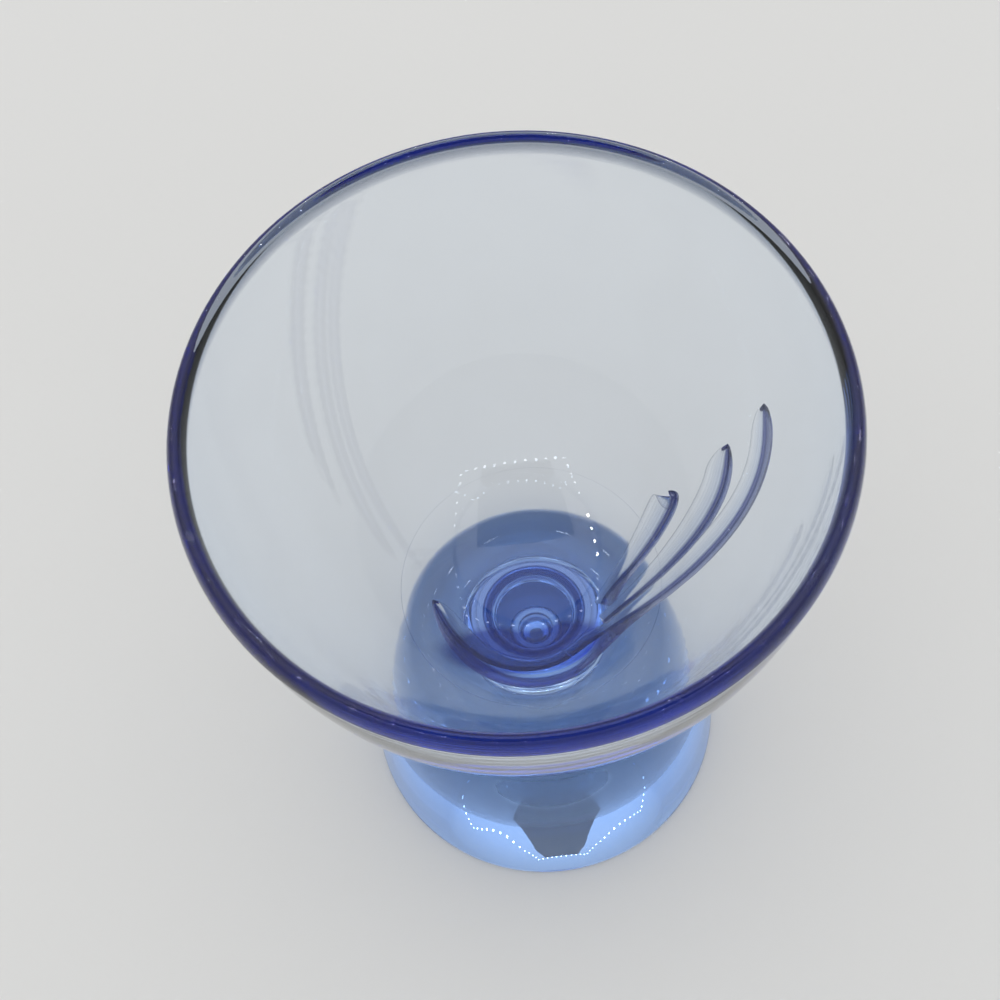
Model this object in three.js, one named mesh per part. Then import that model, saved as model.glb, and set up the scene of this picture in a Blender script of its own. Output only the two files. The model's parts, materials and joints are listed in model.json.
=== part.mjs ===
// Footed dessert bowl in pale blue studio glass.
// A deep blown bowl with a rolled lip stands on a funnel-shaped gather, a short neck and a tall round foot.
// The foot is thick glass round a narrow hollow core, which is open underneath.
// A thick crescent is laid round the front of the gather, and three trails sweep from it up the right wall.
// All lengths are millimetres and all angles are degrees. +Z is up, and the camera side is -Y.
// The origin is the centre of the face that the foot rests on.

import * as THREE from 'three';

// Hot glass fuses at every joint. Each joint keeps this clearance, so that the pieces stay separate solids.
const FUSE_GAP = 0.3;

// Foot
const FOOT_RADIUS = 38.2;
const FOOT_EDGE_ROUND = 1.5;
const FOOT_HEIGHT = 45.8;
const FOOT_WALL_RISE = 11.5; // length of the steepest part of the wall, above the rounded edge
const FOOT_WALL_LEAN = 1.8; // what the wall leans in over that length
const FOOT_SHOULDER_RADIUS = 29;
const FOOT_SHOULDER_HEIGHT = 38.5;
const FOOT_SHOULDER_SLOPE = 55;
const FOOT_SHOULDER_FALL = 9; // how far below the shoulder the wall keeps to its slope
const FOOT_SHOULDER_CLIMB = 6; // how far above the shoulder the top keeps to it
const FOOT_NECK_RISE = 4.3; // length of the steep part below the neck
const FOOT_NECK_FLARE = 1; // what it widens in that length

// Hollow core of the foot
const CORE_RADIUS = 7.5;
const CORE_HEIGHT = 37;
const CORE_DOME = 7.5; // height of its rounded end

// Stem, a neck between the foot and the gather
const STEM_HEIGHT = 7.6;
const STEM_BOTTOM_RADIUS = 10;
const STEM_WAIST_RADIUS = 9;
const STEM_WAIST_HEIGHT = 3.8;
const STEM_TOP_RADIUS = 9.5;

// Calyx, the gather between the stem and the bowl
const CALYX_DEPTH = 8.3; // from the stem to the lowest point of the bowl
const CALYX_RADIUS = 26.5;
const CALYX_EDGE = 0.5;
const CALYX_THROAT_RISE = 6.5; // steep part above the stem
const CALYX_THROAT_FLARE = 1.5;
const CALYX_BRIM_REACH = 9.5; // part that runs out along the bowl, measured from the edge inwards
const CALYX_BRIM_DROP = 7.2;

// Bowl, measured outside
const BOWL_HEIGHT = 77.4;
const BOWL_LIP_RADIUS = 55.7;
const BOWL_BASE_REACH = 29.5; // how far the bottom runs out before it turns up
const BOWL_SHOULDER_LEAN = 3.4; // what the wall opens in the shoulder length below the lip
const BOWL_SHOULDER_LENGTH = 43.5;
const BASE_WALL = 3.4;
const LIP_WALL = 2.8;

// Rolled lip
const BEAD_WIDTH = 3.4;
const BEAD_HEIGHT = 3.7;

// Trails. A path follows the steep edge of a trail. Each of its four handles is an angle round the axis and a
// run, which is the distance along the outside of calyx and bowl from the stem joint up.
const TRAIL_EDGE = 0.3; // thickness where a trail thins out
const SWELL_SHARE = 0.75; // share of a trail's length over which it grows from its root width to its full width
const TIP_BLUNTNESS = 0.12; // share of its width and height that is left at the very tip
const CRESCENT = {
  start: { angle: -184, run: 18 },
  startPull: { angle: -150, run: 14 },
  endPull: { angle: -105, run: 12.6 },
  rootWidth: 5.4,
  width: 6,
  height: 3,
  crest: 0.45,
  tipLength: 14,
  tipFirst: true,
};
const LONG = {
  start: { angle: -64.5, run: 11.2 },
  startPull: { angle: 5.5, run: 8.8 },
  endPull: { angle: -11.5, run: 53.6 },
  end: { angle: 17, run: 68.5 },
  rootWidth: 5.4,
  width: 5.2,
  height: 2.4,
  crest: 0.3,
  tipLength: 8,
};
const MIDDLE = {
  start: { angle: -28, run: 11.8 },
  startPull: { angle: 5, run: 19.4 },
  endPull: { angle: 0, run: 45.4 },
  end: { angle: 19, run: 53.6 },
  rootWidth: 2.6,
  width: 6.6,
  height: 2.2,
  crest: 0.3,
  tipLength: 8,
};
const SHORT = {
  start: { angle: -11, run: 10.5 },
  startPull: { angle: 10, run: 11.9 },
  endPull: { angle: 17, run: 42.3 },
  end: { angle: 24.5, run: 34.5 },
  rootWidth: 2.6,
  width: 6.4,
  height: 2.2,
  crest: 0.3,
  tipLength: 7,
};

// Fineness of the surfaces
const TURN_STEPS = 48;
const WALL_STEPS = 16;
const CURVE_STEPS = 8;
const TRAIL_STATIONS = 26;
const TRAIL_TOP = [0, 0.07, 0.22, 0.42, 0.64, 0.84, 1];
const TRAIL_BASE = [0.66, 0.33];
const BODY_SAMPLES = 60;
const BODY_BLEND = 4; // run over which the seat of a trail climbs the edge of the calyx

// Heights of the joints, from the table up
const stemBottom = FOOT_HEIGHT + FUSE_GAP;
const stemTop = stemBottom + STEM_HEIGHT;
const calyxBottom = stemTop + FUSE_GAP;
const bowlBottom = calyxBottom + CALYX_DEPTH + FUSE_GAP;
const bowlTop = bowlBottom + BOWL_HEIGHT;
const beadBottom = bowlTop + FUSE_GAP;

function point(radius, height) {
  return new THREE.Vector2(radius, height);
}

function curve(from, fromHandle, toHandle, to) {
  return new THREE.CubicBezierCurve(from, fromHandle, toHandle, to);
}

// Square to a curve at a parameter, to the right of its direction, which is outwards for a rising curve.
function sideways(path, parameter) {
  const along = path.getTangent(parameter);
  return point(along.y, -along.x);
}

function glass(red, green, blue, opacity) {
  return new THREE.MeshStandardMaterial({
    color: new THREE.Color().setRGB(red, green, blue, THREE.SRGBColorSpace),
    roughness: 0.03,
    metalness: 0,
    transparent: true,
    opacity,
  });
}

function named(name, geometry, material) {
  const mesh = new THREE.Mesh(geometry, material);
  mesh.name = name;
  return mesh;
}

// Turns a profile of radius and height, given with its outside first and its inside last, round the Z axis.
function turned(profile) {
  const geometry = new THREE.LatheGeometry(profile, TURN_STEPS);
  geometry.rotateX(Math.PI / 2);
  return geometry;
}

// Part of an ellipse, from one angle to another, as points of a profile.
function arc(centre, radiusAcross, radiusUp, fromAngle, toAngle) {
  const ellipse = new THREE.EllipseCurve(
    centre.x,
    centre.y,
    radiusAcross,
    radiusUp,
    THREE.MathUtils.degToRad(fromAngle),
    THREE.MathUtils.degToRad(toAngle),
    toAngle < fromAngle,
  );
  return ellipse.getPoints(CURVE_STEPS);
}

const bowlOutside = curve(
  point(0, bowlBottom),
  point(BOWL_BASE_REACH, bowlBottom),
  point(BOWL_LIP_RADIUS - BOWL_SHOULDER_LEAN, bowlTop - BOWL_SHOULDER_LENGTH),
  point(BOWL_LIP_RADIUS, bowlTop),
);

// The bowl's outside parameter where its radius reaches a value.
function bowlParameterAt(radius) {
  let low = 0;
  let high = 1;
  for (let step = 0; step < 40; step += 1) {
    const middle = (low + high) / 2;
    if (bowlOutside.getPoint(middle).x < radius) {
      low = middle;
    } else {
      high = middle;
    }
  }
  return (low + high) / 2;
}

// The inside lies a wall thickness in from the outside. The wall thins steadily from the bottom to the lip.
function bowlInsidePoint(parameter) {
  const wall = THREE.MathUtils.lerp(BASE_WALL, LIP_WALL, parameter);
  const inside = bowlOutside.getPoint(parameter).addScaledVector(sideways(bowlOutside, parameter), -wall);
  return point(Math.max(inside.x, 0), Math.min(inside.y, bowlTop));
}

function bowlGeometry() {
  const outside = bowlOutside.getPoints(WALL_STEPS);
  const inside = outside.map((unused, index) => bowlInsidePoint(1 - index / WALL_STEPS));
  inside[inside.length - 1].x = 0;
  return turned([...outside, ...inside]);
}

function lipGeometry() {
  const centre = point(BOWL_LIP_RADIUS - LIP_WALL / 2, beadBottom);
  const roll = arc(centre, BEAD_WIDTH / 2, BEAD_HEIGHT, 0, 180);
  return turned([...roll, roll[0].clone()]);
}

const calyxParameter = bowlParameterAt(CALYX_RADIUS);

// The underside of the calyx rises steeply from the stem and runs out along the bowl to a thin edge.
const calyxUnderside = (() => {
  const edge = bowlOutside.getPoint(calyxParameter);
  edge.addScaledVector(sideways(bowlOutside, calyxParameter), FUSE_GAP + CALYX_EDGE);
  return curve(
    point(STEM_TOP_RADIUS, calyxBottom),
    point(STEM_TOP_RADIUS + CALYX_THROAT_FLARE, calyxBottom + CALYX_THROAT_RISE),
    point(edge.x - CALYX_BRIM_REACH, edge.y - CALYX_BRIM_DROP),
    edge,
  );
})();

// The top of the calyx cups the bowl with the clearance of a fused joint.
function calyxGeometry() {
  const cup = [];
  for (let index = CURVE_STEPS; index >= 0; index -= 1) {
    const parameter = (calyxParameter * index) / CURVE_STEPS;
    const seat = bowlOutside.getPoint(parameter);
    seat.addScaledVector(sideways(bowlOutside, parameter), FUSE_GAP);
    cup.push(point(Math.max(seat.x, 0), seat.y));
  }
  return turned([point(0, calyxBottom), ...calyxUnderside.getPoints(2 * CURVE_STEPS), ...cup]);
}

function stemGeometry() {
  const waist = stemBottom + STEM_WAIST_HEIGHT;
  const lowerPull = STEM_WAIST_HEIGHT / 2;
  const upperPull = (STEM_HEIGHT - STEM_WAIST_HEIGHT) / 2;
  const lower = curve(
    point(STEM_BOTTOM_RADIUS, stemBottom),
    point((STEM_BOTTOM_RADIUS + STEM_WAIST_RADIUS) / 2, stemBottom + lowerPull),
    point(STEM_WAIST_RADIUS, waist - lowerPull),
    point(STEM_WAIST_RADIUS, waist),
  );
  const upper = curve(
    point(STEM_WAIST_RADIUS, waist),
    point(STEM_WAIST_RADIUS, waist + upperPull),
    point((STEM_TOP_RADIUS + STEM_WAIST_RADIUS) / 2, stemTop - upperPull),
    point(STEM_TOP_RADIUS, stemTop),
  );
  const side = [...lower.getPoints(CURVE_STEPS), ...upper.getPoints(CURVE_STEPS).slice(1)];
  return turned([point(0, stemBottom), ...side, point(0, stemTop)]);
}

// The foot's side, from the rounded edge on the table up the wall and over the shoulder to the neck.
function footSide() {
  const edgeCentre = point(FOOT_RADIUS - FOOT_EDGE_ROUND, FOOT_EDGE_ROUND);
  const edge = arc(edgeCentre, FOOT_EDGE_ROUND, FOOT_EDGE_ROUND, -90, 0);
  const shoulder = point(FOOT_SHOULDER_RADIUS, FOOT_SHOULDER_HEIGHT);
  const slope = THREE.MathUtils.degToRad(FOOT_SHOULDER_SLOPE);
  const uphill = point(-Math.cos(slope), Math.sin(slope));
  const wall = curve(
    point(FOOT_RADIUS, FOOT_EDGE_ROUND),
    point(FOOT_RADIUS - FOOT_WALL_LEAN, FOOT_EDGE_ROUND + FOOT_WALL_RISE),
    shoulder.clone().addScaledVector(uphill, -FOOT_SHOULDER_FALL),
    shoulder,
  );
  const top = curve(
    shoulder,
    shoulder.clone().addScaledVector(uphill, FOOT_SHOULDER_CLIMB),
    point(STEM_BOTTOM_RADIUS + FOOT_NECK_FLARE, FOOT_HEIGHT - FOOT_NECK_RISE),
    point(STEM_BOTTOM_RADIUS, FOOT_HEIGHT),
  );
  return [...edge, ...wall.getPoints(2 * CURVE_STEPS).slice(1), ...top.getPoints(CURVE_STEPS).slice(1)];
}

function footGeometry() {
  const dome = arc(point(0, CORE_HEIGHT - CORE_DOME), CORE_RADIUS, CORE_DOME, 90, 0);
  dome[0].x = 0;
  return turned([...dome, point(CORE_RADIUS, 0), ...footSide(), point(0, FOOT_HEIGHT)]);
}

// The outside of calyx and bowl as one line of points, with the run up to each point.
const bodyLine = (() => {
  const wall = bowlOutside.getPoints(BODY_SAMPLES);
  const freeWall = wall.filter((place) => place.x > CALYX_RADIUS + BODY_BLEND);
  const places = [...calyxUnderside.getPoints(BODY_SAMPLES), ...freeWall];
  let run = 0;
  return places.map((place, index) => {
    run += index === 0 ? 0 : place.distanceTo(places[index - 1]);
    return { place, run };
  });
})();

// A point on the body at an angle and a run, lifted off it, with the direction that it is lifted in.
function onBody(angle, run, lift) {
  const found = bodyLine.findIndex((sample) => sample.run >= run);
  const next = found < 0 ? bodyLine.length - 1 : Math.max(found, 1);
  const low = bodyLine[next - 1];
  const high = bodyLine[next];
  const share = (run - low.run) / (high.run - low.run);
  const place = low.place.clone().lerp(high.place, share);
  const along = high.place.clone().sub(low.place).normalize();
  const turn = THREE.MathUtils.degToRad(angle);
  const outward = new THREE.Vector3(along.y * Math.cos(turn), along.y * Math.sin(turn), -along.x);
  const seat = new THREE.Vector3(place.x * Math.cos(turn), place.x * Math.sin(turn), place.y);
  return { seat: seat.addScaledVector(outward, lift), outward };
}

// The angle and run of the place on the body that lies nearest to a point in space.
function nearestOnBody(place) {
  const target = point(Math.hypot(place.x, place.y), place.z);
  const angle = THREE.MathUtils.radToDeg(Math.atan2(place.y, place.x));
  let best = { distance: Infinity, run: 0 };
  for (let index = 1; index < bodyLine.length; index += 1) {
    const low = bodyLine[index - 1];
    const high = bodyLine[index];
    const span = high.place.clone().sub(low.place);
    const share = target.clone().sub(low.place).dot(span) / span.lengthSq();
    const inSpan = THREE.MathUtils.clamp(share, 0, 1);
    const distance = low.place.clone().addScaledVector(span, inSpan).distanceTo(target);
    if (distance < best.distance) {
      best = { distance, run: THREE.MathUtils.lerp(low.run, high.run, inSpan) };
    }
  }
  return { angle, run: best.run };
}

function trailPath(trail) {
  return curve(
    point(trail.start.angle, trail.start.run),
    point(trail.startPull.angle, trail.startPull.run),
    point(trail.endPull.angle, trail.endPull.run),
    point(trail.end.angle, trail.end.run),
  );
}

// The steep edge of a trail as places on the body, with the length along it up to each place.
function trailLine(trail) {
  const places = trailPath(trail).getPoints(TRAIL_STATIONS - 1);
  const line = places.map((place) => onBody(place.x, place.y, FUSE_GAP));
  let length = 0;
  line.forEach((station, index) => {
    length += index === 0 ? 0 : station.seat.distanceTo(line[index - 1].seat);
    station.length = length;
  });
  return line;
}

// Height of a trail across its width: a quarter round at the steep edge, then a long fall to the thin edge.
function crown(trail, across) {
  if (across < trail.crest) {
    return Math.sqrt(1 - ((trail.crest - across) / trail.crest) ** 2);
  }
  return (1 + Math.cos((Math.PI * (across - trail.crest)) / (1 - trail.crest))) / 2;
}

// Closes a stack of rings of the same count with a fan at each end.
function lofted(rings) {
  const count = rings[0].length;
  const positions = rings.flat().flatMap((place) => place.toArray());
  const triangles = [];
  for (let ring = 1; ring < rings.length; ring += 1) {
    for (let index = 0; index < count; index += 1) {
      const next = (index + 1) % count;
      const low = (ring - 1) * count;
      const high = ring * count;
      triangles.push(low + index, low + next, high + next);
      triangles.push(low + index, high + next, high + index);
    }
  }
  [rings[0], rings[rings.length - 1]].forEach((ring, end) => {
    const centre = ring.reduce((sum, place) => sum.add(place), new THREE.Vector3()).divideScalar(count);
    const hub = positions.length / 3;
    const first = end === 0 ? 0 : (rings.length - 1) * count;
    positions.push(...centre.toArray());
    for (let index = 0; index < count; index += 1) {
      const next = (index + 1) % count;
      const pair = end === 0 ? [first + next, first + index] : [first + index, first + next];
      triangles.push(hub, ...pair);
    }
  });
  const geometry = new THREE.BufferGeometry();
  geometry.setAttribute('position', new THREE.Float32BufferAttribute(positions, 3));
  geometry.setIndex(triangles);
  geometry.computeVertexNormals();
  return geometry;
}

// A trail lies on the body with its steep edge on its path. It is no wider than the room up to the next trail.
function trailGeometry(trail, neighbour) {
  const line = trailLine(trail);
  const beside = neighbour ? trailLine(neighbour) : [];
  const total = line[line.length - 1].length;
  const rings = line.map((station, index) => {
    const before = line[Math.max(index - 1, 0)];
    const after = line[Math.min(index + 1, line.length - 1)];
    const along = after.seat.clone().sub(before.seat).normalize();
    const across = along.clone().cross(station.outward).normalize();
    const toTip = trail.tipFirst ? station.length : total - station.length;
    const swell = THREE.MathUtils.smoothstep(1 - toTip / total, 0, SWELL_SHARE);
    const closing = 1 - Math.min(toTip / trail.tipLength, 1);
    const rounding = Math.max(Math.sqrt(1 - closing ** 2), TIP_BLUNTNESS);
    const room = beside.reduce((least, other) => Math.min(least, other.seat.distanceTo(station.seat)), Infinity);
    const full = THREE.MathUtils.lerp(trail.rootWidth, trail.width, swell) * rounding;
    const width = Math.min(full, room - 2 * FUSE_GAP);
    const lifted = (portion, lift) => {
      const flat = station.seat.clone().addScaledVector(across, portion * width);
      const place = nearestOnBody(flat);
      return onBody(place.angle, place.run, FUSE_GAP + lift).seat;
    };
    const height = TRAIL_EDGE + (trail.height - TRAIL_EDGE) * rounding;
    const top = TRAIL_TOP.map((portion) => {
      return lifted(portion, TRAIL_EDGE + (height - TRAIL_EDGE) * crown(trail, portion));
    });
    const base = [1, ...TRAIL_BASE, 0].map((portion) => lifted(portion, 0));
    return [...top, ...base];
  });
  return lofted(rings);
}

// The crescent swells from a fine tip at the left and ends square against the root of the long trail.
function crescentGeometry() {
  const seamAngle = THREE.MathUtils.radToDeg((2 * FUSE_GAP) / STEM_TOP_RADIUS);
  const end = { angle: LONG.start.angle - seamAngle, run: LONG.start.run };
  return trailGeometry({ ...CRESCENT, end }, null);
}

const bowl = new THREE.Group();
bowl.name = 'footed_dessert_bowl';
bowl.add(named('foot', footGeometry(), glass(0.45, 0.58, 0.75, 0.75)));
bowl.add(named('stem', stemGeometry(), glass(0.42, 0.56, 0.75, 0.75)));
bowl.add(named('calyx', calyxGeometry(), glass(0.4, 0.5, 0.72, 0.75)));
bowl.add(named('bowl', bowlGeometry(), glass(0.8, 0.85, 0.89, 0.4)));
bowl.add(named('lip_wrap', lipGeometry(), glass(0.22, 0.27, 0.5, 0.85)));
bowl.add(named('crescent_wrap', crescentGeometry(), glass(0.28, 0.35, 0.58, 0.85)));
bowl.add(named('trail_long', trailGeometry(LONG, MIDDLE), glass(0.24, 0.32, 0.56, 0.85)));
bowl.add(named('trail_middle', trailGeometry(MIDDLE, SHORT), glass(0.24, 0.32, 0.56, 0.85)));
bowl.add(named('trail_short', trailGeometry(SHORT, null), glass(0.24, 0.32, 0.56, 0.85)));

export default bowl;
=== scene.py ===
# %% [markdown]
# # A footed dessert bowl in pale blue studio glass
#
# This lesson builds the looks of a hand-blown bowl round its packed construction model. The construction
# model gives every piece its place and size. Here each piece gets its fire-polished surface, and the glass
# gets its colour. All lengths are in metres, +Z is up, and the bowl stands on Z = 0 with its axis upright.

# %% Load the construction model
import json
import math

import bmesh
import bpy
from mathutils import Matrix, Vector

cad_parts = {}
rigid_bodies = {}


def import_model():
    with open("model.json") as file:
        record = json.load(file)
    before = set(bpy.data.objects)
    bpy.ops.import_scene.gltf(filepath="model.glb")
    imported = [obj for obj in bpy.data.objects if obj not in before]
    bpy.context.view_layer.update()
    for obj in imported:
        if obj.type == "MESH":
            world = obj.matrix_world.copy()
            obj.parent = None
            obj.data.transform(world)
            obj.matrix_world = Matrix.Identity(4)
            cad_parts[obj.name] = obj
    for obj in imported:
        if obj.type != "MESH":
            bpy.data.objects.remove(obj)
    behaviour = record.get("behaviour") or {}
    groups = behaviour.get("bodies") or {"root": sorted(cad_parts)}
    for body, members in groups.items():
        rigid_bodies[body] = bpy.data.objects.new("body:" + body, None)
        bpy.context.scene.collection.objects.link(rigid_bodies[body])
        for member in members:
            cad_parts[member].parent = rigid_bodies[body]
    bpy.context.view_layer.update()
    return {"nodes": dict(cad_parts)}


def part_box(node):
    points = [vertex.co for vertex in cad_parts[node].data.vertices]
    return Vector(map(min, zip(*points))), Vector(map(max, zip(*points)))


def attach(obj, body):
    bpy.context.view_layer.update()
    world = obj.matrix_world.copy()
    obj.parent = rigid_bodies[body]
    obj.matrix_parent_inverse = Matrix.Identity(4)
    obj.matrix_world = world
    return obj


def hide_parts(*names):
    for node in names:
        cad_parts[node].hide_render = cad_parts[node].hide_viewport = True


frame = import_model()
MM = 0.001
scene = bpy.context.scene
print("nodes:", sorted(frame["nodes"]))

# %% [markdown]
# ## The camera
#
# The photograph looks steeply down into the bowl, with the camera turned a few degrees. A camera has a place,
# a direction and a roll. The direction comes from a tilt below the horizon, and the roll turns the picture
# round that direction. The lens is given for a 36 mm wide sensor and a square picture.

# %% Camera direction
CAMERA_PLACE = Vector((-3.8, -136.8, 392.3)) * MM
CAMERA_TILT = math.radians(63.956)
CAMERA_ROLL = math.radians(-7.577)

looking = Vector((0, math.cos(CAMERA_TILT), -math.sin(CAMERA_TILT)))
level_right = Vector((1, 0, 0))
level_up = level_right.cross(looking)
right = math.cos(CAMERA_ROLL) * level_right + math.sin(CAMERA_ROLL) * level_up
up = right.cross(looking)
print("the camera looks along", [round(value, 3) for value in looking])

# %% Camera and lens
FOCAL_PIXELS = 1785
PICTURE_PIXELS = 1000
SENSOR_WIDTH = 36

camera_data = bpy.data.cameras.new("camera")
camera_data.sensor_width = SENSOR_WIDTH
camera_data.lens = FOCAL_PIXELS * SENSOR_WIDTH / PICTURE_PIXELS
camera_data.clip_start = 0.01
camera = bpy.data.objects.new("camera", camera_data)
scene.collection.objects.link(camera)
turn = Matrix((right, up, -looking)).transposed()
camera.matrix_world = Matrix.Translation(CAMERA_PLACE) @ turn.to_4x4()
scene.camera = camera
print("lens:", round(camera_data.lens, 1), "mm")

# %% [markdown]
# ## The floor
#
# Clear glass has no colour of its own to show: it shows what stands round it. The floor is a plain pale sheet.
# A very faint cloudiness keeps it from looking like flat paint, and it lies a hair below the foot, so that the
# underside of the glass still has air under it.

# %% Material helper
def new_material(name):
    material = bpy.data.materials.new(name)
    material.use_nodes = True
    material.node_tree.nodes.clear()
    return material, material.node_tree.nodes, material.node_tree.links


print("a material starts with an empty node tree")

# %% Floor material
FLOOR_LIGHT = (0.70, 0.70, 0.69, 1)
FLOOR_DARK = (0.68, 0.68, 0.67, 1)
FLOOR_CLOUDS = 9.0


def floor_material():
    material, nodes, links = new_material("pale_floor")
    output = nodes.new("ShaderNodeOutputMaterial")
    surface = nodes.new("ShaderNodeBsdfDiffuse")
    place = nodes.new("ShaderNodeTexCoord")
    clouds = nodes.new("ShaderNodeTexNoise")
    clouds.inputs["Scale"].default_value = FLOOR_CLOUDS
    blend = nodes.new("ShaderNodeMix")
    blend.data_type = "RGBA"
    blend.inputs["A"].default_value = FLOOR_DARK
    blend.inputs["B"].default_value = FLOOR_LIGHT
    links.new(place.outputs["Object"], clouds.inputs["Vector"])
    links.new(clouds.outputs["Fac"], blend.inputs["Factor"])
    links.new(blend.outputs["Result"], surface.inputs["Color"])
    links.new(surface.outputs["BSDF"], output.inputs["Surface"])
    return material


# %% Floor sheet
FLOOR_HALF = 3.0
FLOOR_DROP = 0.15 * MM


def stage_sheet(name, low, high, height, material):
    """A level rectangle that belongs to the studio and not to the bowl."""
    mesh = bpy.data.meshes.new(name)
    corners = [(low[0], low[1]), (high[0], low[1]), (high[0], high[1]), (low[0], high[1])]
    mesh.from_pydata([(x, y, height) for x, y in corners], [], [(0, 1, 2, 3)])
    mesh.materials.append(material)
    sheet = bpy.data.objects.new(name, mesh)
    scene.collection.objects.link(sheet)
    return sheet


half = (FLOOR_HALF, FLOOR_HALF)
stage_sheet("floor", (-FLOOR_HALF, -FLOOR_HALF), half, -FLOOR_DROP, floor_material())
print("the floor is", 2 * FLOOR_HALF, "m wide")

# %% [markdown]
# ## The light tent
#
# The photograph has no hard shadows, as in a white tent. The world stands for its cloth: it is brighter overhead
# than at the sides, so the walls of the bowl shade gently. Both strengths were tuned to the photograph.

# %% Tent cloth
HORIZON_STRENGTH = 0.52
ZENITH_STRENGTH = 1.30


def make_tent():
    world = bpy.data.worlds.new("tent")
    world.use_nodes = True
    nodes = world.node_tree.nodes
    links = world.node_tree.links
    nodes.clear()
    output = nodes.new("ShaderNodeOutputWorld")
    light = nodes.new("ShaderNodeBackground")
    light.inputs["Color"].default_value = (1, 1, 1, 1)
    place = nodes.new("ShaderNodeTexCoord")
    split = nodes.new("ShaderNodeSeparateXYZ")
    climb = nodes.new("ShaderNodeMapRange")
    climb.inputs["To Min"].default_value = HORIZON_STRENGTH
    climb.inputs["To Max"].default_value = ZENITH_STRENGTH
    links.new(place.outputs["Generated"], split.inputs[0])
    links.new(split.outputs["Z"], climb.inputs["Value"])
    links.new(climb.outputs["Result"], light.inputs["Strength"])
    links.new(light.outputs[0], output.inputs["Surface"])
    return world


scene.world = make_tent()
scene.view_settings.view_transform = "Standard"
print("the tent gives", HORIZON_STRENGTH, "at the sides and", ZENITH_STRENGTH, "overhead")

# %% How often light may turn
scene.cycles.max_bounces = 40
scene.cycles.transmission_bounces = 40
scene.cycles.glossy_bounces = 24
scene.cycles.transparent_max_bounces = 32
print("light may turn", scene.cycles.max_bounces, "times inside the glass")

# %% [markdown]
# ## The lamp frame
#
# The photograph shows strings of bright dots in the glass, as polished glass mirrors rows of small lamps. They
# light nothing here, because the tent does that. Each lamp is the same little square, so Geometry Nodes set
# them out along a rectangle. The tree's inputs carry the frame's sizes by name. A dark opening in the tent goes
# with them. Its image makes the dark column in the foot, and its size was tuned to bring the column
# nearer to the photograph's. Frame and opening belong to the studio: without the opening there is no column.

# %% Geometry Nodes helpers
def new_tree(name, sizes):
    """A Geometry Nodes tree with a geometry output and one named input for each size."""
    tree = bpy.data.node_groups.new(name, "GeometryNodeTree")
    tree.interface.new_socket("Geometry", in_out="OUTPUT", socket_type="NodeSocketGeometry")
    for label, kind in sizes:
        tree.interface.new_socket(label, in_out="INPUT", socket_type=kind)
    return tree


def grow(name, tree, values, material):
    """Runs a tree on an empty mesh and gives back what it made as a plain mesh."""
    holder = bpy.data.objects.new(name + "_holder", bpy.data.meshes.new(name + "_holder"))
    scene.collection.objects.link(holder)
    grown = holder.modifiers.new("grown", "NODES")
    grown.node_group = tree
    for item in tree.interface.items_tree:
        if item.in_out == "INPUT":
            grown[item.identifier] = material if item.name == "Material" else values[item.name]
    seen = holder.evaluated_get(bpy.context.evaluated_depsgraph_get())
    mesh = bpy.data.meshes.new_from_object(seen)
    mesh.name = name
    bpy.data.objects.remove(holder)
    return mesh


print("geometry trees can be grown into plain meshes")

# %% Lamp material
LAMP_STRENGTH = 70.0
OPENING_STRENGTH = 0.22


def glow_material(name, strength):
    material, nodes, links = new_material(name)
    output = nodes.new("ShaderNodeOutputMaterial")
    glow = nodes.new("ShaderNodeEmission")
    glow.inputs["Strength"].default_value = strength
    links.new(glow.outputs[0], output.inputs["Surface"])
    material.cycles.emission_sampling = "NONE"
    return material


print("a lamp is", LAMP_STRENGTH / ZENITH_STRENGTH, "times as bright as the cloth")

# %% Tree that sets lamps along a rectangle
def lamp_tree():
    sizes = [("Width", "NodeSocketFloat"), ("Depth", "NodeSocketFloat"), ("Lamps", "NodeSocketInt"),
             ("Lamp size", "NodeSocketFloat"), ("Material", "NodeSocketMaterial")]
    tree = new_tree("lamps_on_a_rectangle", sizes)
    nodes, links = tree.nodes, tree.links
    given = nodes.new("NodeGroupInput")
    made = nodes.new("NodeGroupOutput")
    rectangle = nodes.new("GeometryNodeCurvePrimitiveQuadrilateral")
    links.new(given.outputs["Width"], rectangle.inputs["Width"])
    links.new(given.outputs["Depth"], rectangle.inputs["Height"])
    spaced = nodes.new("GeometryNodeResampleCurve")
    links.new(rectangle.outputs["Curve"], spaced.inputs["Curve"])
    links.new(given.outputs["Lamps"], spaced.inputs["Count"])
    lamp = nodes.new("GeometryNodeMeshGrid")
    lamp.inputs["Vertices X"].default_value = 2
    lamp.inputs["Vertices Y"].default_value = 2
    links.new(given.outputs["Lamp size"], lamp.inputs["Size X"])
    links.new(given.outputs["Lamp size"], lamp.inputs["Size Y"])
    placed = nodes.new("GeometryNodeInstanceOnPoints")
    links.new(spaced.outputs["Curve"], placed.inputs["Points"])
    links.new(lamp.outputs["Mesh"], placed.inputs["Instance"])
    real = nodes.new("GeometryNodeRealizeInstances")
    links.new(placed.outputs["Instances"], real.inputs["Geometry"])
    coat = nodes.new("GeometryNodeSetMaterial")
    links.new(real.outputs["Geometry"], coat.inputs["Geometry"])
    links.new(given.outputs["Material"], coat.inputs["Material"])
    links.new(coat.outputs["Geometry"], made.inputs["Geometry"])
    return tree


# %% Lamp frame
FRAME_HEIGHT = 0.42
FRAME_MIDDLE = (0.02, -0.09)
FRAME_WIDTH = 0.62
FRAME_DEPTH = 0.78
LAMP_COUNT = 48
LAMP_SIZE = 0.012


def only_in_the_glass(thing):
    """The camera and the floor do not see it, but reflections and refractions do."""
    thing.visible_camera = False
    thing.visible_diffuse = False
    thing.visible_shadow = False


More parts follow.
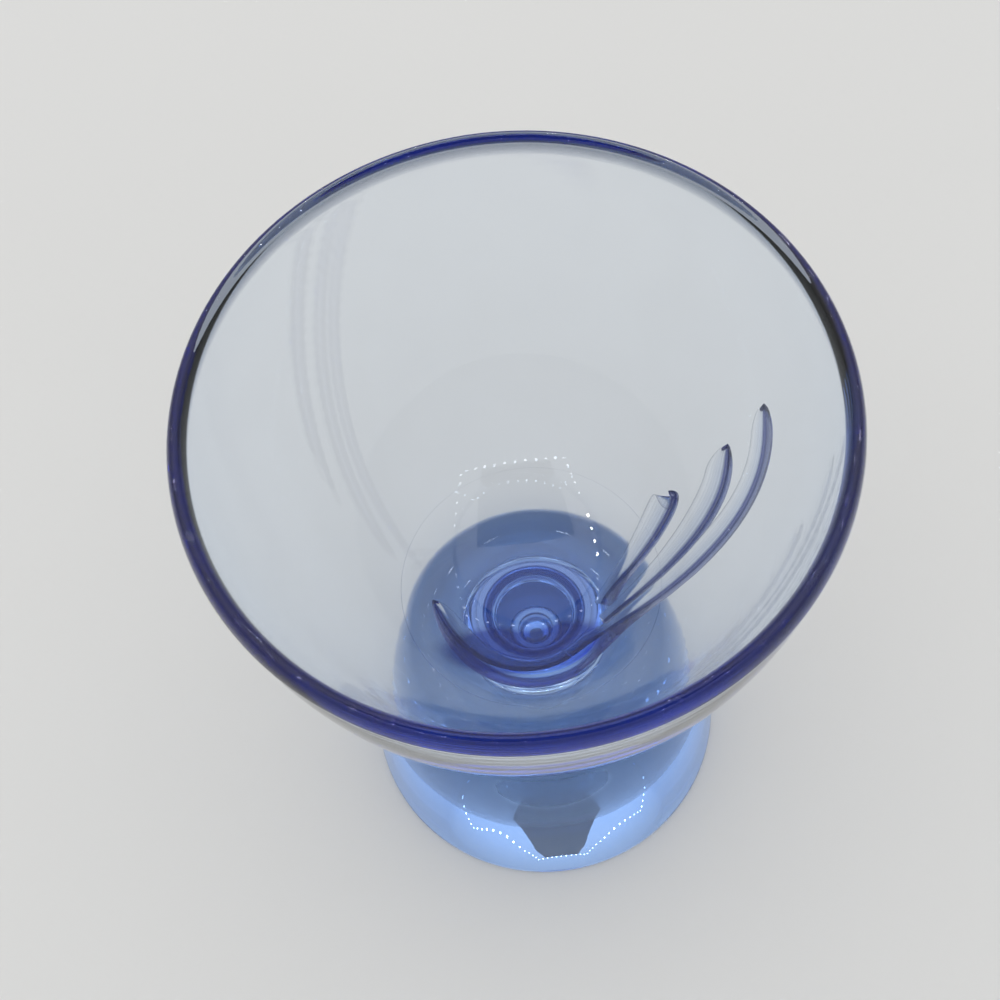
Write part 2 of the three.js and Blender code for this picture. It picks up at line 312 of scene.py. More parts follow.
lamp_sizes = {"Width": FRAME_WIDTH, "Depth": FRAME_DEPTH, "Lamps": LAMP_COUNT, "Lamp size": LAMP_SIZE}
lamp_mesh = grow("lamps", lamp_tree(), lamp_sizes, glow_material("lamp_glow", LAMP_STRENGTH))
lamp_mesh.transform(Matrix.Translation((*FRAME_MIDDLE, FRAME_HEIGHT)))
lamps = bpy.data.objects.new("lamps", lamp_mesh)
scene.collection.objects.link(lamps)
only_in_the_glass(lamps)
print("lamps:", len(lamp_mesh.polygons))

# %% Camera opening
OPENING_HALF_WIDTH = 0.20
OPENING_BACK = -0.07
OPENING_ABOVE_LAMPS = 10 * MM
opening_low = (-OPENING_HALF_WIDTH, FRAME_MIDDLE[1] - FRAME_DEPTH / 2)
opening_high = (OPENING_HALF_WIDTH, OPENING_BACK)
opening_glow = glow_material("opening_gloom", OPENING_STRENGTH)
opening_height = FRAME_HEIGHT + OPENING_ABOVE_LAMPS
opening = stage_sheet("camera_opening", opening_low, opening_high, opening_height, opening_glow)
only_in_the_glass(opening)
print("the opening spans", opening_low, "to", opening_high)

# %% [markdown]
# ## Fire polish
#
# Hot glass is smoothed by the flame, and it is never quite even: it keeps slow ripples, faint turning lines
# and places that are a touch less clear. Every glass of the bowl shares that finish, so it is one shader node
# group. It gives out a height for a Bump node and a tint, and each material sets its own amounts.

# %% Shader group helpers
def group_socket(group, label, way, kind, value=None):
    socket = group.interface.new_socket(label, in_out=way, socket_type=kind)
    if value is not None:
        socket.default_value = value


def math_node(nodes, links, operation, first, second):
    node = nodes.new("ShaderNodeMath")
    node.operation = operation
    for index, value in enumerate((first, second)):
        if isinstance(value, (int, float)):
            node.inputs[index].default_value = value
        else:
            links.new(value, node.inputs[index])
    return node.outputs[0]


print("helpers for shader groups are ready")

# %% Fire polish group
LINE_PITCH = 130.0
LINE_WANDER = 2.5


def fire_polish_group():
    group = bpy.data.node_groups.new("fire_polish", "ShaderNodeTree")
    group_socket(group, "Ripple size", "INPUT", "NodeSocketFloat", 60.0)
    group_socket(group, "Turning lines", "INPUT", "NodeSocketFloat", 0.3)
    group_socket(group, "Cloudiness", "INPUT", "NodeSocketFloat", 0.03)
    group_socket(group, "Height", "OUTPUT", "NodeSocketFloat")
    group_socket(group, "Tint", "OUTPUT", "NodeSocketColor")
    nodes, links = group.nodes, group.links
    given = nodes.new("NodeGroupInput")
    made = nodes.new("NodeGroupOutput")
    place = nodes.new("ShaderNodeTexCoord")
    ripple = nodes.new("ShaderNodeTexNoise")
    ripple.inputs["Detail"].default_value = 1.0
    links.new(place.outputs["Object"], ripple.inputs["Vector"])
    links.new(given.outputs["Ripple size"], ripple.inputs["Scale"])
    lines = nodes.new("ShaderNodeTexWave")
    lines.wave_type = "BANDS"
    lines.bands_direction = "Z"
    lines.inputs["Scale"].default_value = LINE_PITCH
    lines.inputs["Distortion"].default_value = LINE_WANDER
    links.new(place.outputs["Object"], lines.inputs["Vector"])
    turned_in = math_node(nodes, links, "MULTIPLY", lines.outputs["Fac"], given.outputs["Turning lines"])
    height = math_node(nodes, links, "ADD", ripple.outputs["Fac"], turned_in)
    links.new(height, made.inputs["Height"])
    loss = math_node(nodes, links, "MULTIPLY", ripple.outputs["Fac"], given.outputs["Cloudiness"])
    clear = math_node(nodes, links, "SUBTRACT", 1.0, loss)
    tint = nodes.new("ShaderNodeCombineColor")
    for channel in ("Red", "Green", "Blue"):
        links.new(clear, tint.inputs[channel])
    links.new(tint.outputs["Color"], made.inputs["Tint"])
    return group


fire_polish = fire_polish_group()
print("fire polish gives", [item.name for item in fire_polish.interface.items_tree if item.in_out == "OUTPUT"])

# %% [markdown]
# ## The colours of the glass
#
# Colour in glass comes from depth: each millimetre swallows some red and green, so a thin wall is almost clear
# and a thick foot is blue. Volume Absorption does exactly that, with the share that a millimetre takes of each
# colour. The surface is a Principled BSDF with full transmission. Where two pieces are fused there is no
# surface at all, so those faces carry the value 1 in an attribute called seam, and Alpha hides them. The rates
# were tuned to the photograph. The neck's are denser than the foot's only because that quietens a pale ring.
# The lip's take nearly as much blue as red. In the photograph's view it looks blue all the same, and from low
# down it looks mostly dark grey.

# %% Glass material
GLASS_IOR = 1.5


def glass_material(name, per_mm, ripple_mm=12.0, ripple_height=0.006, lines=0.3, clouds=0.03):
    material, nodes, links = new_material(name)
    output = nodes.new("ShaderNodeOutputMaterial")
    surface = nodes.new("ShaderNodeBsdfPrincipled")
    surface.inputs["Transmission Weight"].default_value = 1
    surface.inputs["IOR"].default_value = GLASS_IOR
    surface.inputs["Roughness"].default_value = 0
    seam = nodes.new("ShaderNodeAttribute")
    seam.attribute_name = "seam"
    links.new(math_node(nodes, links, "SUBTRACT", 1.0, seam.outputs["Fac"]), surface.inputs["Alpha"])
    polish = nodes.new("ShaderNodeGroup")
    polish.node_tree = fire_polish
    polish.name = "polish"
    polish.inputs["Ripple size"].default_value = 1 / (ripple_mm * MM)
    polish.inputs["Turning lines"].default_value = lines
    polish.inputs["Cloudiness"].default_value = clouds
    bump = nodes.new("ShaderNodeBump")
    bump.inputs["Strength"].default_value = 1.0
    bump.inputs["Distance"].default_value = ripple_height * MM
    links.new(polish.outputs["Height"], bump.inputs["Height"])
    links.new(bump.outputs["Normal"], surface.inputs["Normal"])
    links.new(polish.outputs["Tint"], surface.inputs["Base Color"])
    depth = nodes.new("ShaderNodeVolumeAbsorption")
    depth.inputs["Color"].default_value = (*[1 - rate / max(per_mm) for rate in per_mm], 1)
    depth.inputs["Density"].default_value = max(per_mm) / MM
    links.new(surface.outputs[0], output.inputs["Surface"])
    links.new(depth.outputs[0], output.inputs["Volume"])
    return material


# %% Painted shade in the glass
def painted_shade(material, colour, mask_of):
    """Paints shade into the glass: lets a mask pull the glass's tint towards a colour."""
    nodes, links = material.node_tree.nodes, material.node_tree.links
    surface = next(node for node in nodes if node.type == "BSDF_PRINCIPLED")
    polish = nodes["polish"]
    blend = nodes.new("ShaderNodeMix")
    blend.data_type = "RGBA"
    blend.blend_type = "MULTIPLY"
    blend.inputs["B"].default_value = (*colour, 1)
    links.new(mask_of(nodes, links), blend.inputs["Factor"])
    links.new(polish.outputs["Tint"], blend.inputs["A"])
    links.new(blend.outputs["Result"], surface.inputs["Base Color"])


# Painted shade is multiplied into the glass's tint where the mask is 1.
print("a stain multiplies the tint of the glass where its mask is 1")

# %% The five glasses
BOWL_PER_MM = (0.031, 0.0165, 0.0003)
FOOT_PER_MM = (0.0175, 0.0100, 0.0012)
NECK_PER_MM = (0.055, 0.038, 0.009)
LIP_PER_MM = (0.27, 0.24, 0.19)
TRAIL_PER_MM = (0.13, 0.085, 0.014)

bowl_glass = glass_material("pale_blue_bowl_glass", BOWL_PER_MM, ripple_height=0.004)
foot_glass = glass_material("mid_blue_foot_glass", FOOT_PER_MM, ripple_mm=9.0, ripple_height=0.012, lines=0.1)
neck_glass = glass_material("mid_blue_neck_glass", NECK_PER_MM, ripple_mm=9.0, ripple_height=0.012, lines=0.1)
lip_glass = glass_material("deep_blue_lip_glass", LIP_PER_MM, ripple_height=0.004, lines=0)
trail_glass = glass_material("deep_blue_trail_glass", TRAIL_PER_MM, ripple_mm=5.0, ripple_height=0.006, lines=0)
print("glasses:", [glass.name for glass in (bowl_glass, foot_glass, neck_glass, lip_glass, trail_glass)])

# %% [markdown]
# ## Turned pieces
#
# Foot, stem, calyx and bowl are round, because the glassmaker turns them on the rod. Each is a profile of
# radius and height, swept round the axis. A Screw modifier could sweep it too. Plain code was chosen, because
# a row of the profile can then say whether the band of faces that starts there is a seam.

# %% Curve helper
def bezier(start, pull_a, pull_b, end, count):
    places = []
    for index in range(count + 1):
        t = index / count
        a, b, c, d = (1 - t) ** 3, 3 * (1 - t) ** 2 * t, 3 * (1 - t) * t * t, t ** 3
        places.append(tuple(a * start[k] + b * pull_a[k] + c * pull_b[k] + d * end[k] for k in range(2)))
    return places


def quarter(centre, across, rise, start, end, count):
    """Part of an ellipse, from one angle to another, as (radius, height)."""
    angles = [math.radians(start + (end - start) * index / count) for index in range(count + 1)]
    return [(centre[0] + across * math.cos(angle), centre[1] + rise * math.sin(angle)) for angle in angles]


print("a quarter circle ends at", [round(value, 3) for value in quarter((0, 0), 1, 1, 0, 90, 8)[-1]])

# %% Mesh helper
SHARP = math.radians(32)
MERGE_WITHIN = 1e-7


def finish_mesh(mesh):
    """Merges doubled points, turns every face outwards and keeps only real edges sharp."""
    work = bmesh.new()
    work.from_mesh(mesh)
    bmesh.ops.remove_doubles(work, verts=work.verts, dist=MERGE_WITHIN)
    bmesh.ops.recalc_face_normals(work, faces=work.faces)
    for face in work.faces:
        face.smooth = True
    work.to_mesh(mesh)
    work.free()
    mesh.set_sharp_from_angle(angle=SHARP)


def make_piece(name, mesh, material):
    finish_mesh(mesh)
    mesh.materials.clear()
    mesh.materials.append(material)
    piece = bpy.data.objects.new(name, mesh)
    scene.collection.objects.link(piece)
    print(name, "has", len(mesh.polygons), "faces")
    return piece


# %% Turning helper
TURN_STEPS = 192
GAP = 0.02 * MM


def turned(name, rows, material):
    """Sweeps rows of (radius, height, seam) round Z. The first and the last row lie on the axis."""
    places, faces, seams = [], [], []
    for radius, height, _ in rows:
        for step in range(TURN_STEPS):
            angle = 2 * math.pi * step / TURN_STEPS
            places.append((radius * math.cos(angle), radius * math.sin(angle), height))
    for row in range(len(rows) - 1):
        low, high = row * TURN_STEPS, (row + 1) * TURN_STEPS
        for step in range(TURN_STEPS):
            near = (step + 1) % TURN_STEPS
            faces.append((low + step, low + near, high + near, high + step))
            seams.append(rows[row][2])
    mesh = bpy.data.meshes.new(name)
    mesh.from_pydata(places, [], faces)
    mesh.attributes.new("seam", "FLOAT", "FACE").data.foreach_set("value", seams)
    return make_piece(name, mesh, material)


def open_rows(places):
    return [(radius, height, 0.0) for radius, height in places]


def seam_rows(places):
    return [(radius, height, 1.0) for radius, height in places]


# %% Sizes read from the construction model
foot_low, foot_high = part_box("foot")
stem_low, stem_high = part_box("stem")
calyx_low, calyx_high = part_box("calyx")
bowl_low, bowl_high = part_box("bowl")
lip_low, lip_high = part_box("lip_wrap")

stem_joint = (foot_high.z + stem_low.z) / 2
calyx_joint = (stem_high.z + calyx_low.z) / 2
lip_joint = (bowl_high.z + lip_low.z) / 2
bowl_bottom = bowl_low.z
print("joints at", [round(height / MM, 2) for height in (stem_joint, calyx_joint, lip_joint)])

# %% [markdown]
# ## The foot
#
# The foot is the heaviest lump of glass: a tall round block with a narrow hollow core, open underneath. Light
# that comes in through so steep a wall can meet the flat underside slantingly enough to be mirrored back up, and
# the light areas in the photograph look like that. The photograph doesn't show the inside of the foot. Its
# height and its core are a guess, picked among trial forms by how they look.

# %% Foot profile
FOOT_ROUND = 1.5 * MM
FOOT_SHOULDER = (29 * MM, 38.5 * MM)
SHOULDER_SLOPE = math.radians(55)
CORE_RADIUS = 7.5 * MM
CORE_HEIGHT = 37 * MM
CORE_DOME = 7.5 * MM
NECK_RADIUS = 10 * MM
NECK_FLARE = 1 * MM
NECK_RISE = 4.3 * MM
WALL_LEAN = 1.8 * MM
WALL_STEEP_TO = 13 * MM
SHOULDER_FALL = 9 * MM
SHOULDER_CLIMB = 6 * MM


def core_line():
    dome = quarter((0, CORE_HEIGHT - CORE_DOME), CORE_RADIUS, CORE_DOME, 90, 0, 24)
    wall = [(CORE_RADIUS, (CORE_HEIGHT - CORE_DOME) * (1 - step / 20)) for step in range(1, 21)]
    return [(0, CORE_HEIGHT)] + dome[1:] + wall


def foot_side():
    brim = foot_high.x - FOOT_ROUND
    edge = quarter((brim, FOOT_ROUND), FOOT_ROUND, FOOT_ROUND, -90, 0, 12)
    uphill = Vector((-math.cos(SHOULDER_SLOPE), math.sin(SHOULDER_SLOPE)))
    shoulder = Vector(FOOT_SHOULDER)
    steep = (foot_high.x - WALL_LEAN, WALL_STEEP_TO)
    wall = bezier(edge[-1], steep, shoulder - uphill * SHOULDER_FALL, shoulder, 40)
    neck = (NECK_RADIUS + NECK_FLARE, stem_joint - NECK_RISE)
    top = bezier(shoulder, shoulder + uphill * SHOULDER_CLIMB, neck, (NECK_RADIUS, stem_joint - GAP / 2), 30)
    return edge + wall[1:] + top[1:]


# %% Foot
foot_line = core_line() + foot_side()
foot_rows = open_rows(foot_line[:-1]) + seam_rows([foot_line[-1], (0, stem_joint - GAP / 2)])
foot = turned("foot_glass", foot_rows, foot_glass)

# %% [markdown]
# ## The stem
#
# A short neck joins the foot to the gather. The photograph shows it only through the bowl, so its form is a
# guess too: a slight waist, as the jacks leave when they pinch hot glass.

# %% Stem
WAIST_RADIUS = 9 * MM
WAIST_HEIGHT = 3.8 * MM
STEM_TOP_RADIUS = 9.5 * MM


def stem_side():
    low = stem_joint + GAP / 2
    high = calyx_joint - GAP / 2
    waist = low + WAIST_HEIGHT
    reach = (high - waist) / 2
    lower = bezier((NECK_RADIUS, low), ((NECK_RADIUS + WAIST_RADIUS) / 2, low + WAIST_HEIGHT / 2),
                   (WAIST_RADIUS, waist - WAIST_HEIGHT / 2), (WAIST_RADIUS, waist), 16)
    upper = bezier((WAIST_RADIUS, waist), (WAIST_RADIUS, waist + reach),
                   ((STEM_TOP_RADIUS + WAIST_RADIUS) / 2, high - reach), (STEM_TOP_RADIUS, high), 16)
    return lower + upper[1:]


stem_line = stem_side()
stem_rows = seam_rows([(0, stem_line[0][1])]) + open_rows(stem_line[:-1])
stem_rows += seam_rows([stem_line[-1], (0, stem_line[-1][1])])
stem = turned("stem_glass", stem_rows, neck_glass)

# %% [markdown]
# ## The bowl
#
# The bowl is one blown bubble, opened at the top. Its outside is a single curve from the bottom to the lip,
# and its inside follows at the thickness of the wall, which thins towards the lip. The lowest part of the
# outside is fused to the gather, so its faces are seams.

# %% Bowl lines
BASE_REACH = 29.5 * MM
SHOULDER_LEAN = 3.4 * MM
SHOULDER_LENGTH = 43.5 * MM
BASE_WALL = 3.4 * MM
LIP_WALL = 2.8 * MM
LIP_RADIUS = bowl_high.x
CALYX_RADIUS = 26.5 * MM
WALL_ROWS = 120

bowl_line = bezier((0, bowl_bottom), (BASE_REACH, bowl_bottom),
                   (LIP_RADIUS - SHOULDER_LEAN, bowl_high.z - SHOULDER_LENGTH), (LIP_RADIUS, lip_joint), WALL_ROWS)


def offset_line(line, distance_of):
    """Moves each place of a line sideways, outwards where the distance is positive."""
    moved = []
    for index, (radius, height) in enumerate(line):
        before = line[max(index - 1, 0)]
        after = line[min(index + 1, len(line) - 1)]
        along = Vector((after[0] - before[0], after[1] - before[1])).normalized()
        distance = distance_of(index / (len(line) - 1))
        moved.append((max(radius + along.y * distance, 0), height - along.x * distance))
    return moved


print("the bowl's wall is", BASE_WALL / MM, "mm at the bottom and", LIP_WALL / MM, "mm at the lip")

# %% Bowl
bowl_top = lip_joint - GAP / 2
inside_line = offset_line(bowl_line, lambda t: -(BASE_WALL + (LIP_WALL - BASE_WALL) * t))
inside_line = [(radius, min(height, bowl_top)) for radius, height in inside_line]
inside_line[0] = (0, inside_line[0][1])
outside_line = [(radius, min(height, bowl_top)) for radius, height in bowl_line]

fused_count = sum(radius < CALYX_RADIUS for radius, _ in bowl_line) - 1
bowl_rows = seam_rows(outside_line[:fused_count]) + open_rows(outside_line[fused_count:-1])
bowl_rows += seam_rows([outside_line[-1]]) + open_rows(list(reversed(inside_line)))
bowl = turned("bowl_glass", bowl_rows, bowl_glass)

# %% [markdown]
# ## The lip
#
# A thick trail of deep blue glass is laid on the rim and melted until it is round on top and flat where it
# sticks. It follows a circle, so Geometry Nodes make it: a circle is the path, and a second circle, pressed
# flat on its lower side, is the section that is swept along it. The flat underside is stored as a seam.

# %% Tree that sweeps the lip
LEVEL_TOLERANCE = 1e-6


def bead_section(nodes, links, given):
    """A circle, scaled to the bead's width and height, with one half pressed flat. Its -Y ends up on top."""
    circle = nodes.new("GeometryNodeCurvePrimitiveCircle")
    circle.inputs["Resolution"].default_value = 64
    circle.inputs["Radius"].default_value = 1
    place = nodes.new("GeometryNodeInputPosition")
    split = nodes.new("ShaderNodeSeparateXYZ")
    links.new(place.outputs[0], split.inputs[0])
    joined = nodes.new("ShaderNodeCombineXYZ")
    half_width = math_node(nodes, links, "MULTIPLY", given.outputs["Bead width"], 0.5)
    links.new(math_node(nodes, links, "MULTIPLY", split.outputs["X"], half_width), joined.inputs["X"])
    raised = math_node(nodes, links, "MINIMUM", split.outputs["Y"], 0.0)
    links.new(math_node(nodes, links, "MULTIPLY", raised, given.outputs["Bead height"]), joined.inputs["Y"])
    pressed = nodes.new("GeometryNodeSetPosition")
    links.new(circle.outputs["Curve"], pressed.inputs["Geometry"])
    links.new(joined.outputs[0], pressed.inputs["Position"])
    return pressed.outputs["Geometry"]


def seam_below(nodes, links, geometry):
    """Stores 1 in the seam attribute of the faces that lie flat on the path's level."""
    place = nodes.new("GeometryNodeInputPosition")
    split = nodes.new("ShaderNodeSeparateXYZ")
    links.new(place.outputs[0], split.inputs[0])
    stored = nodes.new("GeometryNodeStoreNamedAttribute")
    stored.data_type = "FLOAT"
    stored.domain = "FACE"
    stored.inputs["Name"].default_value = "seam"
    links.new(math_node(nodes, links, "LESS_THAN", split.outputs["Z"], LEVEL_TOLERANCE), stored.inputs["Value"])
    links.new(geometry, stored.inputs["Geometry"])
    return stored.outputs["Geometry"]


# %% Lip tree
def lip_tree():
    sizes = [("Lip radius", "NodeSocketFloat"), ("Bead width", "NodeSocketFloat"),
             ("Bead height", "NodeSocketFloat"), ("Steps", "NodeSocketInt"), ("Material", "NodeSocketMaterial")]
    tree = new_tree("bead_on_a_rim", sizes)
    nodes, links = tree.nodes, tree.links
    given = nodes.new("NodeGroupInput")
    made = nodes.new("NodeGroupOutput")
    rim = nodes.new("GeometryNodeCurvePrimitiveCircle")
    links.new(given.outputs["Steps"], rim.inputs["Resolution"])
    links.new(given.outputs["Lip radius"], rim.inputs["Radius"])
    swept = nodes.new("GeometryNodeCurveToMesh")
    links.new(rim.outputs["Curve"], swept.inputs["Curve"])
    links.new(bead_section(nodes, links, given), swept.inputs["Profile Curve"])
    real = nodes.new("GeometryNodeRealizeInstances")
    links.new(seam_below(nodes, links, swept.outputs["Mesh"]), real.inputs["Geometry"])
    coat = nodes.new("GeometryNodeSetMaterial")
    links.new(real.outputs["Geometry"], coat.inputs["Geometry"])
    links.new(given.outputs["Material"], coat.inputs["Material"])
    links.new(coat.outputs["Geometry"], made.inputs["Geometry"])
    return tree


# %% Lip
BEAD_WIDTH = 3.4 * MM
lip_seat = lip_joint + GAP / 2
lip_sizes = {"Lip radius": LIP_RADIUS - LIP_WALL / 2, "Bead width": BEAD_WIDTH,
             "Bead height": lip_high.z - lip_seat, "Steps": TURN_STEPS}
lip_mesh = grow("lip_glass", lip_tree(), lip_sizes, lip_glass)
lip_mesh.transform(Matrix.Translation((0, 0, lip_seat)))
lip = make_piece("lip_glass", lip_mesh, lip_glass)
print("seam faces under the lip:", sum(item.value > 0.5 for item in lip_mesh.attributes["seam"].data))

# %% [markdown]
# ## The calyx
#
# The gather under the bowl is a solid funnel. Its underside rises from the stem and runs out along the bowl
# until it is as thin as a hair. A fine circle still shows in the wall where it ends.

# %% Calyx
THROAT_RISE = 6.5 * MM
THROAT_FLARE = 1.5 * MM
BRIM_PULL = 12 * MM
CALYX_EDGE = 0.08 * MM


def calyx_lines():
    seat = offset_line(bowl_line, lambda t: GAP)[:fused_count + 1]
    last, before = Vector(seat[-1]), Vector(seat[-2])
    along = (last - before).normalized()
    edge = last + Vector((along.y, -along.x)) * CALYX_EDGE
    low = calyx_joint + GAP / 2
    throat = (STEM_TOP_RADIUS + THROAT_FLARE, low + THROAT_RISE)
    under = bezier((STEM_TOP_RADIUS, low), throat, edge - along * BRIM_PULL, edge, 48)
    return under, seat


calyx_under, calyx_seat = calyx_lines()
calyx_rows = [(0, calyx_joint + GAP / 2, 1.0)] + open_rows(calyx_under) + seam_rows(list(reversed(calyx_seat)))
calyx = turned("calyx_glass", calyx_rows, neck_glass)

# %% [markdown]
# ## The body that the trails lie on
#
# Crescent and trails are drawn on the outside of gather and bowl. A place there is an angle round the axis and
# a run, the length along the outside from the stem joint up. Two helpers turn that into a place in space and
# back again.

# %% Body line
WALL_START = 4 * MM

free_wall = [(radius, height) for radius, height in bowl_line if radius > CALYX_RADIUS + WALL_START]
body_line = [Vector(place) for place in calyx_under + free_wall]
body_runs = [0.0]
for before, after in zip(body_line, body_line[1:]):
    body_runs.append(body_runs[-1] + (after - before).length)
print("the body is", round(body_runs[-1] / MM, 1), "mm long from the stem to the lip")

# %% Place from angle and run
def on_body(angle, run, lift):
    index = 1
    while index < len(body_runs) - 1 and body_runs[index] < run:
        index += 1
    low, high = body_line[index - 1], body_line[index]
    share = (run - body_runs[index - 1]) / (body_runs[index] - body_runs[index - 1])
    place = low.lerp(high, share)
    along = (high - low).normalized()
    outward = Vector((along.y * math.cos(angle), along.y * math.sin(angle), -along.x))
    seat = Vector((place.x * math.cos(angle), place.x * math.sin(angle), place.y))
    return seat + outward * lift, outward


# %% Angle and run from place
def nearest_on_body(place):
    target = Vector((math.hypot(place.x, place.y), place.z))
    best = (1e9, 0.0)
    for index in range(1, len(body_line)):
        low, high = body_line[index - 1], body_line[index]
        span = high - low
        share = min(max((target - low).dot(span) / span.length_squared, 0), 1)
        distance = (low + span * share - target).length
        if distance < best[0]:
            best = (distance, body_runs[index - 1] + span.length * share)
    return math.atan2(place.y, place.x), best[1]


print("a place on the body:", [round(value / MM, 1) for value in on_body(0, 20 * MM, 0)[0]])

# %% [markdown]
# ## The trails
#
# The glassmaker lays a fat crescent of deep blue glass round the front of the gather and pulls three fingers
# from it up the wall. A finger is steep on its right side and thins out to the left, and its tip hooks to the
# left. Each one has a path of four handles, and sections that follow it. The surface keeps, in an attribute
# called across, how far a place lies from the steep edge, and the material uses that for painted shade along the
# edge.

# %% Paths and sizes
LONG = dict(path=[(-64.5, 11.2), (5.5, 8.8), (-11.5, 53.6), (17, 68.5)], root=5.4, width=5.2, height=2.4,
            crest=0.3, tip=8, tip_first=False)
MIDDLE = dict(path=[(-28, 11.8), (5, 19.4), (0, 45.4), (19, 53.6)], root=2.6, width=6.6, height=2.2,
              crest=0.3, tip=8, tip_first=False)
SHORT = dict(path=[(-11, 10.5), (10, 11.9), (17, 42.3), (24.5, 34.5)], root=2.6, width=6.4, height=2.2,
             crest=0.3, tip=7, tip_first=False)
CRESCENT = dict(path=[(-184, 18), (-150, 14), (-105, 12.6), (-65.5, 11.2)], root=5.4, width=6, height=3,
                crest=0.45, tip=14, tip_first=True)
TRAIL_STATIONS = 90
print("fingers: long, middle, short")

# %% Stations along a path
def trail_line(trail):
    line = []
    length = 0.0
    for angle, run in bezier(*trail["path"], TRAIL_STATIONS):
        seat, outward = on_body(math.radians(angle), run * MM, 0)
        if line:
            length += (seat - line[-1][0]).length
        line.append((seat, outward, length))
    return line


# %% Section of a trail
SINK = -0.06 * MM
FALL = 1.6
SWELLS_OVER = 0.75
TIP_REMAINS = 0.03
TOP = [0, 0.01, 0.03, 0.06, 0.1, 0.16, 0.23, 0.3, 0.38, 0.47, 0.56, 0.66, 0.76, 0.86, 0.94, 1]
BASE = [0.8, 0.6, 0.4, 0.2]


def crown(crest, across):
    """Height across a trail: a quarter round at the steep edge, then a long fall to the thin edge."""
    if across < crest:
        return math.sqrt(1 - ((crest - across) / crest) ** 2)
    return ((1 + math.cos(math.pi * (across - crest) / (1 - crest))) / 2) ** FALL


def station_size(trail, to_tip, total, room):
    """Width and height at a station. A trail swells along its length and closes round at its tip."""
    part = min(max((1 - to_tip / total) / SWELLS_OVER, 0), 1)
    swell = part * part * (3 - 2 * part)
    closing = 1 - min(to_tip / (trail["tip"] * MM), 1)
    rounding = max(math.sqrt(max(1 - closing ** 2, 0)), TIP_REMAINS)
    full = (trail["root"] + (trail["width"] - trail["root"]) * swell) * MM * rounding
    return min(full, room), trail["height"] * MM * rounding


def section(trail, seat, across, width, height):
    """The places round one section: over the top from the steep edge, then back along the base."""
    places = []
    for portion in TOP:
        angle, run = nearest_on_body(seat + across * portion * width)
        places.append(on_body(angle, run, SINK + (height - SINK) * crown(trail["crest"], portion))[0])
    for portion in BASE:
        angle, run = nearest_on_body(seat + across * portion * width)
        places.append(on_body(angle, run, SINK)[0])
    return places


# %% Sections of a whole trail
def trail_sections(trail, neighbour):
    line = trail_line(trail)
    beside = trail_line(neighbour) if neighbour else []
    total = line[-1][2]
    sections = []
    for index, (seat, outward, length) in enumerate(line):
        before = line[max(index - 1, 0)][0]
        after = line[min(index + 1, len(line) - 1)][0]
        across = (after - before).normalized().cross(outward).normalized()
        room = min([(other[0] - seat).length for other in beside], default=1) - 2 * GAP
        to_tip = length if trail["tip_first"] else total - length
        width, height = station_size(trail, to_tip, total, room)
        sections.append(section(trail, seat, across, width, height))
    return sections


# %% Trail piece
def trail_piece(name, trail, neighbour):
    sections = trail_sections(trail, neighbour)
    count = len(TOP) + len(BASE)
    faces = []
    for ring in range(len(sections) - 1):
        low, high = ring * count, (ring + 1) * count
        for step in range(count):
            near = (step + 1) % count
            faces.append((low + step, low + near, high + near, high + step))
    faces.append(tuple(reversed(range(count))))
    faces.append(tuple((len(sections) - 1) * count + step for step in range(count)))
    mesh = bpy.data.meshes.new(name)
    mesh.from_pydata([place for ring in sections for place in ring], [], faces)
    mesh.attributes.new("across", "FLOAT", "POINT").data.foreach_set("value", (TOP + BASE) * len(sections))
    mesh.attributes.new("seam", "FLOAT", "FACE")
    return make_piece(name, mesh, trail_glass)


crescent = trail_piece("crescent_glass", CRESCENT, None)
trail_long = trail_piece("long_trail_glass", LONG, MIDDLE)
trail_middle = trail_piece("middle_trail_glass", MIDDLE, SHORT)
trail_short = trail_piece("short_trail_glass", SHORT, None)

# %% [markdown]
# ## Dark edges on the trails
#
# Seen through the bowl, each finger is almost clear, with one dark line along its steep right side and a faint
# one on its left. The glass darkens there by refraction, and painted shade in the trail glass's tint stands for
# both lines. A mask made from the across attribute says where they lie, and a fine wave along the same attribute
# makes the painted shade paler in streaks, like those of pulled glass.

# %% Painted shade along the trail edges
# Painted shade: the dark colour drawn along the steep edges of the trails.
PAINTED_EDGE_SHADE = (0.002, 0.006, 0.14)
EDGE_STOPS = [(0.0, 1.0), (0.24, 1.0), (0.36, 0.16), (0.90, 0.05), (0.97, 0.35)]
STREAK_RATE = 55.0
STREAK_DEPTH = 0.06


# The mask of the painted shade: full along the steep edge, faint along the thin one.
def painted_edge_shade_mask(nodes, links):
    across = nodes.new("ShaderNodeAttribute")
    across.attribute_name = "across"
    ramp = nodes.new("ShaderNodeValToRGB")
    while len(ramp.color_ramp.elements) < len(EDGE_STOPS):
        ramp.color_ramp.elements.new(0.5)
    for element, (place, value) in zip(ramp.color_ramp.elements, EDGE_STOPS):
        element.position = place
        element.color = (value, value, value, 1)
    links.new(across.outputs["Fac"], ramp.inputs["Fac"])
    turns = math_node(nodes, links, "MULTIPLY", across.outputs["Fac"], STREAK_RATE)
    streaks = math_node(nodes, links, "ADD", math_node(nodes, links, "SINE", turns, 0), 1.0)
    paler = math_node(nodes, links, "MULTIPLY", streaks, STREAK_DEPTH)
    return math_node(nodes, links, "SUBTRACT", ramp.outputs["Color"], paler)


# Painted shade along the trails' steep edges.
painted_shade(trail_glass, PAINTED_EDGE_SHADE, painted_edge_shade_mask)
print("trails stained along their steep edges")
